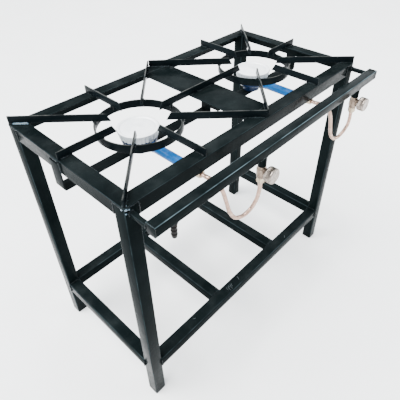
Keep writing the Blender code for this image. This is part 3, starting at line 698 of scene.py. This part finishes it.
def burner_cap(side):
    """Loose cast cap: raised rim, shallow dish with a gate mark, and flame grooves round the wall."""
    low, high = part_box(f"burner_cap_{side}")
    top, seat, radius = high.z, low.z + 0.004, (high.x - low.x) / 2
    dish = [(0.0, top - 0.0002), (0.0035, top - 0.0002), (0.0046, top - 0.0008), (0.0200, top - 0.0004),
            (0.0330, top - 0.0008), (0.0375, top - 0.0016), (0.0392, top - 0.0028), (0.0402, top - 0.0026)]
    rim = [(0.0416, top - 0.0008), (0.0430, top), (0.0452, top), (0.0468, top - 0.0006)]
    wall = [(radius, top - 0.0020), (radius, top - 0.0036), (radius - 0.0003, top - 0.0042),
            (radius - 0.0008, top - 0.0060), (radius - 0.0016, top - 0.0090),
            (radius - 0.0024, seat + 0.0008), (radius - 0.0030, seat)]
    underside = [(0.0385, seat), (0.0380, low.z), (0.0355, low.z), (0.0350, top - 0.0070),
                 (0.0, top - 0.0070)]
    profile = dish + rim + wall + underside
    first = len(dish + rim) + 1     # the grooves start one row down the wall
    shares = (0.15, 0.75, 1.0, 1.0, 1.0, 0.9)
    flutes = fluted(FLAME_GROOVES, 0.0022, {first + row: share for row, share in enumerate(shares)})
    bm = lathe(profile, 240, flutes, matrix=at(BURNER[side].x, BURNER[side].y, 0))
    bm.normal_update()
    # Faces that look sideways take the darker second material: partly the duller as-cast finish, partly
    # painted shade on the wall.
    for face in bm.faces:
        if abs(face.normal.z) < 0.6:
            face.material_index = 1
    cap = stand_in(f"burner_cap_{side}", bm, CAST, 50.0)
    cap.data.materials.append(RAW_CAST_AND_SIDE_SHADE)


def burner_bowl(side):
    """Cast bowl with flame grooves that go on from the cap's, a foot, and the neck of the mixer."""
    x, y = BURNER[side].x, BURNER[side].y
    low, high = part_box(f"burner_bowl_{side}")
    foot, lip = low.z, high.z
    inside = [(0.0, foot + 0.0157), (0.0300, foot + 0.0157), (0.0352, foot + 0.0225), (0.0388, lip - 0.006),
              (0.0388, lip)]
    wall = [(0.0440, lip), (0.0445, lip - 0.0012), (0.0434, lip - 0.0050), (0.0420, lip - 0.0100),
            (0.0408, lip - 0.0150), (0.0396, lip - 0.0200), (0.0380, foot + 0.0205), (0.0352, foot + 0.0167),
            (0.0300, foot + 0.0143)]
    base = [(0.0222, foot + 0.0127), (0.0216, foot + 0.0117), (0.0212, foot + 0.0075),
            (0.0220, foot + 0.0045), (0.0220, foot), (0.0, foot)]
    shares = (0.9, 1.0, 1.0, 0.9, 0.7, 0.4)
    flutes = fluted(FLAME_GROOVES, 0.0018, {len(inside) + row: share for row, share in enumerate(shares)})
    bm = lathe(inside + wall + base, 240, flutes, matrix=at(x, y, 0))
    neck = [(0.0079, 0.0340), (0.0130, 0.0340), (0.0138, 0.0390), (0.0136, 0.0430), (0.0116, 0.0447),
            (0.0089, 0.0454), (0.0089, y - low.y), (0.0079, y - low.y)]
    lathe(neck, 48, None, bm, at(x, y, MIXER_Z, "-Y"))
    for face in bm.faces:
        if face.calc_center_median().z > lip - 0.0060:
            face.material_index = 1
    bowl = stand_in(f"burner_bowl_{side}", bm, DARK_BLUE, 50.0)
    bowl.data.materials.append(RAW_CAST_AND_SIDE_SHADE)


def burner_bolt(side):
    """Nut, washer and the end of the bolt that holds a burner down on its strap."""
    x, y = BURNER[side].x, BURNER[side].y
    bm = bmesh.new()
    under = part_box(f"burner_strap_{side}")[0].z
    hex_nut(bm, at(x, y, under - 0.0004, "-Z"), 0.013, 0.0, 0.0055, 0.0028)
    thread = [(0.0, 0.0), (0.0027, 0.0), (0.0027, 0.0080), (0.0022, 0.0088), (0.0, 0.0088)]
    lathe(thread, 24, None, bm, at(x, y, under, "-Z"))
    washer = [(0.0, -0.0002), (0.0092, -0.0002), (0.0094, 0.0003), (0.0090, 0.0009), (0.0, 0.0009)]
    lathe(washer, 40, None, bm, at(x, y, under - 0.0002, "-Z"))
    new_piece(f"burner_bolt_{side}", bm, STEEL, STAND)


def mixer(side):
    """Blue mixer tube and air shutter as in CAD, with a rolled collar near each end of the tube."""
    x = BURNER[side].x
    softened(f"mixer_tube_{side}", BLUE, 0.0005)
    softened(f"air_shutter_{side}", BLUE, 0.0004)
    low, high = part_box(f"mixer_tube_{side}")
    bm = bmesh.new()
    radius = (high.x - low.x) / 2
    collar = [(radius - 0.0004, -0.0024), (radius + 0.0006, -0.0019), (radius + 0.0010, -0.0008),
              (radius + 0.0010, 0.0008), (radius + 0.0006, 0.0019), (radius - 0.0004, 0.0024)]
    for y in (low.y + 0.006, high.y - 0.006):
        lathe(collar, 48, None, bm, at(x, y, MIXER_Z, "Y"))
    new_piece(f"mixer_collars_{side}", bm, BLUE, STAND)


NUT_FLATS = 0.0175              # spanner size of the injectors and the flare nuts
TUBE_BORE = 0.0051              # radius of the hole that a copper tube goes into


def injector(side):
    """Hexagon head, nozzle and a turned shoulder."""
    low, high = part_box(f"injector_{side}")
    x = BURNER[side].x
    bm = hex_nut(None, at(x, low.y, MIXER_Z, "Y"), NUT_FLATS, 0.0, 0.0200, TUBE_BORE)
    reach = high.y - low.y
    nozzle = [(0.0010, 0.0190), (0.0043, 0.0190), (0.0043, reach - 0.008), (0.0026, reach - 0.0004),
              (0.0022, reach), (0.0010, reach)]
    lathe(nozzle, 40, None, bm, at(x, low.y, MIXER_Z, "Y"))
    stand_in(f"injector_{side}", bm, PALE_BRASS)


# ---------------------------------------------------------------- gas supply

def valve(side):
    """Turned valve body with a round boss for the stem, the bright stem, and the flare nut below."""
    x = VALVE[side].x
    low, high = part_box(f"valve_body_{side}")
    radius = (high.x - low.x) / 2
    height = high.z - low.z
    body = [(0.0036, 0.0), (0.0088, 0.0), (0.0096, 0.0006), (0.0098, 0.0042), (radius - 0.0004, 0.0056),
            (radius, 0.0068), (radius, 0.0230), (radius - 0.0006, 0.0242), (0.0096, 0.0250),
            (0.0094, height - 0.0006), (0.0088, height), (0.0036, height)]
    bm = lathe(body, 64, None, None, at(x, MANIFOLD_Y, low.z))
    reach = MANIFOLD_Y - low.y
    boss = [(0.0044, 0.0050), (0.0084, 0.0050), (0.0090, 0.0078), (0.0090, 0.0096), (0.0080, 0.0102),
            (0.0078, reach), (0.0044, reach)]
    lathe(boss, 64, None, bm, at(x, MANIFOLD_Y, STEM_Z, "-Y"))
    stand_in(f"valve_body_{side}", bm, BRASS)
    stem_low, stem_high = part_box(f"valve_stem_{side}")
    length = stem_high.y - stem_low.y
    stem = [(0.0, 0.0066), (0.0036, 0.0066), (0.0036, 0.0074), (0.0040, 0.0078), (0.0040, length - 0.0006),
            (0.0034, length), (0.0, length)]
    stand_in(f"valve_stem_{side}", lathe(stem, 40, None, None, at(x, stem_high.y, STEM_Z, "-Y")), PALE_BRASS)
    nut_low, nut_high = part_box(f"flare_nut_{side}")
    place = at(x, MANIFOLD_Y, nut_low.z)
    nut = hex_nut(None, place, NUT_FLATS, 0.0035, nut_high.z - nut_low.z, TUBE_BORE)
    cone = [(TUBE_BORE, 0.0), (0.0064, 0.0), (0.0068, 0.0005), (0.0082, 0.0036), (0.0082, 0.0045),
            (TUBE_BORE, 0.0045)]
    lathe(cone, 48, None, nut, place)
    stand_in(f"flare_nut_{side}", nut, PALE_BRASS)


def knob(side):
    """Round metal knob: knurled band, dished face and a pointer line."""
    x = VALVE[side].x
    low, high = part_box(f"knob_{side}")
    radius, length = (high.x - low.x) / 2, high.y - low.y
    behind = [(0.0, 0.0133), (0.0044, 0.0133), (0.0044, 0.0), (0.0150, 0.0), (0.0166, 0.0006),
              (0.0176, 0.0018), (radius, 0.0030), (radius, 0.0038)]
    band = [(radius - 0.0001, 0.0044), (radius - 0.0001, length - 0.0056)]
    face = [(radius, length - 0.0050), (radius, length - 0.0026), (radius - 0.0006, length - 0.0012),
            (radius - 0.0016, length - 0.0002), (radius - 0.0028, length), (0.0138, length),
            (0.0132, length - 0.0003), (0.0120, length - 0.0005), (0.0, length - 0.0005)]
    knurl = fluted(44, 0.0006, {len(behind): 1.0, len(behind) + 1: 1.0})
    bm = lathe(behind + band + face, 352, knurl, None, at(x, high.y, STEM_Z, "-Y"))
    stand_in(f"knob_{side}", bm, NICKEL, 40.0)
    mark = bmesh.new()
    bmesh.ops.create_cube(mark, size=1.0)
    mark_size = (0.0010, 0.0009, 0.0050)
    bmesh.ops.scale(mark, vec=mark_size, verts=mark.verts)
    bmesh.ops.bevel(mark, geom=list(mark.edges), offset=0.0003, segments=2, profile=0.5, affect="EDGES")
    bmesh.ops.translate(mark, vec=(x, low.y + 0.0007, STEM_Z + 0.0100), verts=mark.verts)
    new_piece(f"knob_pointer_{side}", mark, MARK, f"knob_{side}_turning")


def inlet():
    """Black hose barb with rounded ridges and a hexagon for the spanner."""
    low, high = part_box("gas_inlet_barb")
    x = centre_of("gas_inlet_barb").x
    top = high.z
    first_ridge, ridge_pitch = -0.0140, 0.009
    profile = [(0.0030, 0.0), (0.0074, 0.0), (0.0074, -0.0086), (0.0068, -0.0092), (0.0056, -0.0100),
               (0.0052, first_ridge)]
    for ridge in range(3):
        start = first_ridge - ridge_pitch * ridge
        profile += [(0.0058, start - 0.0002), (0.0064, start - 0.0009), (0.0064, start - 0.0018),
                    (0.0056, start - 0.0050), (0.0050, start - 0.0078)]
    profile += [(0.0049, low.z - top + 0.0008), (0.0044, low.z - top), (0.0030, low.z - top)]
    bm = lathe(profile, 48, None, None, at(x, MANIFOLD_Y, top))
    hex_nut(bm, at(x, MANIFOLD_Y, top), 0.0160, -0.0080, -0.0014, 0.0070)
    stand_in("gas_inlet_barb", bm, FITTING)


TUBE_ROUTE = {                  # x from the burner's axis, y from the frame's front face, z from the floor
    "left": [(0.1165, -0.0550, 0.5955), (0.1165, -0.0550, 0.5780), (0.1158, -0.0545, 0.5560),
             (0.1120, -0.0520, 0.5320), (0.1005, -0.0470, 0.5090), (0.0805, -0.0410, 0.4970),
             (0.0595, -0.0355, 0.5030), (0.0435, -0.0320, 0.5290), (0.0335, -0.0300, 0.5640),
             (0.0240, -0.0275, 0.5970), (0.0130, -0.0225, 0.6210), (0.0035, -0.0130, 0.6340),
             (0.0, -0.0045, 0.6370), (0.0, 0.0050, 0.6370), (0.0, 0.0180, 0.6370)],
    "right": [(0.1170, -0.0550, 0.5955), (0.1170, -0.0550, 0.5780), (0.1200, -0.0548, 0.5580),
              (0.1200, -0.0530, 0.5370), (0.1100, -0.0485, 0.5170), (0.0930, -0.0440, 0.5060),
              (0.0740, -0.0400, 0.5090), (0.0610, -0.0360, 0.5270), (0.0560, -0.0330, 0.5520),
              (0.0525, -0.0300, 0.5780), (0.0430, -0.0265, 0.6030), (0.0260, -0.0215, 0.6220),
              (0.0080, -0.0140, 0.6345), (0.0, -0.0045, 0.6370), (0.0, 0.0050, 0.6370),
              (0.0, 0.0180, 0.6370)],
}
TUBE_RADIUS = 0.00475


def gas_tube(side):
    """Bent copper tube on the same route as the CAD tube, with the small dents of hand bending."""
    route = [(BURNER[side].x + x, FRONT + y, z) for x, y, z in TUBE_ROUTE[side]]
    path = smooth_path(route, 220)
    dents = [CHANCE.uniform(0.0, 6.28) for _ in range(3)]      # the last only keeps the later draws in place

    def radius(share):
        """The tube's radius, true at both ends and uneven between them."""
        wave = 0.012 * math.sin(37 * share + dents[0]) + 0.010 * math.sin(71 * share + dents[1])
        return TUBE_RADIUS * (1 + math.sin(math.pi * share) * wave)
    stand_in(f"gas_tube_{side}", tube_along(path, radius, 20), COPPER)


# ---------------------------------------------------------------- small surface marks

SCRATCHES = (                   # x, y from the frame's front face, length, and direction in radians
    (-0.0950, 0.017, 0.013, 1.15), (-0.0902, 0.013, 0.017, 1.22), (-0.0850, 0.018, 0.009, 1.10),
    (-0.0806, 0.014, 0.019, 1.18), (-0.0750, 0.016, 0.012, 1.25), (-0.0440, 0.018, 0.016, 1.20),
    (0.1900, 0.010, 0.011, 0.50), (-0.2300, 0.020, 0.009, 2.40))
SCRATCH_STEPS = 8


def scuffs():
    """A few pale scratches across the top of the front shelf rail, where things rub against it."""
    bm = bmesh.new()
    level, depth = SHELF_TOP + 0.00012, 0.0002
    for x, y, length, slant in SCRATCHES:
        along = Vector((math.cos(slant), math.sin(slant), 0.0))
        across = Vector((-along.y, along.x, 0.0))
        start = Vector((x, FRONT + y, level)) - along * length / 2
        left, right = [], []
        for step in range(SCRATCH_STEPS + 1):
            share = step / SCRATCH_STEPS
            wander = across * 0.0008 * math.sin(5 * share + 90 * x)
            taper = math.sin(math.pi * (0.08 + 0.84 * share))
            half = across * (0.00050 * taper * CHANCE.uniform(0.7, 1.2))
            left.append(bm.verts.new(start + along * length * share + wander + half))
            right.append(bm.verts.new(start + along * length * share + wander - half))
        faces = [bm.faces.new((left[k], left[k + 1], right[k + 1], right[k])) for k in range(SCRATCH_STEPS)]
        made = bmesh.ops.extrude_face_region(bm, geom=faces)
        lowered = [item for item in made["geom"] if isinstance(item, bmesh.types.BMVert)]
        bmesh.ops.translate(bm, vec=(0, 0, -depth), verts=lowered)
    new_piece("rail_scuffs", bm, SCUFF, STAND)


# ---------------------------------------------------------------- camera, light and floor

CAMERA_PLACE = (-0.664, FRONT - 0.4317, 1.1398)
CAMERA_AZIMUTH, CAMERA_ELEVATION, CAMERA_ROLL = (math.radians(angle) for angle in (46.93, 39.05, -0.39))


def make_camera():
    """The camera's place and lens, worked out from the frame's edges."""
    data = bpy.data.cameras.new("camera")
    data.sensor_width = 36.0
    data.lens = 36.585
    data.shift_x = -0.0140
    data.shift_y = -0.0515
    data.clip_end = 50.0
    camera = bpy.data.objects.new("camera", data)
    bpy.context.scene.collection.objects.link(camera)
    level = math.cos(CAMERA_ELEVATION)
    forward = Vector((math.sin(CAMERA_AZIMUTH) * level, math.cos(CAMERA_AZIMUTH) * level,
                      -math.sin(CAMERA_ELEVATION)))
    right = Vector((math.cos(CAMERA_AZIMUTH), -math.sin(CAMERA_AZIMUTH), 0.0))
    up = right.cross(forward)
    cosine, sine = math.cos(CAMERA_ROLL), math.sin(CAMERA_ROLL)
    right, up = right * cosine + up * sine, up * cosine - right * sine
    rotation = Matrix((right, up, -forward)).transposed()
    camera.matrix_world = Matrix.Translation(CAMERA_PLACE) @ rotation.to_4x4()
    bpy.context.scene.camera = camera


def area_light(name, place, target, size, power, colour):
    """Rectangular light at a place, turned to face a target."""
    data = bpy.data.lights.new(name, "AREA")
    data.shape = "RECTANGLE"
    data.size, data.size_y = size
    data.energy = power
    data.color = colour
    light = bpy.data.objects.new(name, data)
    light.location = place
    light.rotation_euler = (Vector(target) - Vector(place)).to_track_quat("-Z", "Y").to_euler()
    bpy.context.scene.collection.objects.link(light)


def make_floor():
    """Plain pale floor."""
    shader = Shader("floor_white", 0.70, specular=0.2)
    tone = shader.mix(shader.window(shader.noise(3.0), 0.3, 0.7), (0.90, 0.90, 0.895), (0.92, 0.92, 0.915))
    shader.surface("Base Color", tone)
    bm = bmesh.new()
    bmesh.ops.create_grid(bm, x_segments=1, y_segments=1, size=40.0)
    mesh = bpy.data.meshes.new("floor")
    bm.to_mesh(mesh)
    bm.free()
    mesh.materials.append(shader.material)
    floor = bpy.data.objects.new("floor", mesh)
    bpy.context.scene.collection.objects.link(floor)


def make_light():
    """Bright even surroundings, a soft sun from above and three panels that light the steel's edges."""
    world = bpy.data.worlds.new("soft_world")
    world.use_nodes = True
    background = world.node_tree.nodes["Background"]
    background.inputs["Color"].default_value = (0.90, 0.96, 1.0, 1.0)
    background.inputs["Strength"].default_value = 1.75
    bpy.context.scene.world = world
    sun = bpy.data.lights.new("overhead", "SUN")
    sun.energy = 9.2
    sun.angle = math.radians(60)
    overhead = bpy.data.objects.new("overhead", sun)
    overhead.rotation_euler = Vector((0.55, -0.20, -1.0)).to_track_quat("-Z", "Y").to_euler()
    bpy.context.scene.collection.objects.link(overhead)
    middle, grates = (0, 0, 0.5), (0, 0, 0.68)
    area_light("edge_left", (-2.0, 1.8, 2.1), middle, (1.6, 0.35), 70.0, (0.93, 0.97, 1.0))
    area_light("sheen", (1.9, 1.8, 2.8), grates, (2.2, 2.2), 45.0, (0.90, 0.96, 1.0))
    area_light("edge_right", (1.9, -2.1, 2.0), middle, (1.6, 0.25), 60.0, (0.93, 0.97, 1.0))


# ---------------------------------------------------------------- assembly

# nodes that the functions above take care of; carried_nodes does the others
OWN_SHAPES = ("burner_cap", "burner_bowl", "mixer_tube", "air_shutter", "injector", "valve_body",
              "valve_stem", "flare_nut", "knob", "gas_inlet_barb", "gas_tube")


def carried_nodes():
    """The frame, the grates, the straps and the manifold, with the CAD's shape and eased edges."""
    own_paint = {"burner_strap_left": STRAP, "burner_strap_right": STRAP, "gas_manifold": PIPE_PAINT}
    for node in sorted(NODES):
        if not node.startswith(OWN_SHAPES):
            material = own_paint.get(node, LOOKS[SLOT_OF[node]])
            softened(node, material, long_edge=0.0013 if node.startswith("top_rail") else 0.0)


make_camera()
make_floor()
make_light()
carried_nodes()
for each in SIDES:
    burner_cap(each)
    burner_bowl(each)
    burner_bolt(each)
    mixer(each)
    injector(each)
    valve(each)
    knob(each)
    gas_tube(each)
    grate_welds(each)
    strap_welds(each)
inlet()
frame_welds()
shelf_welds()
manifold_welds()
corner_weld_glints()
scuffs()
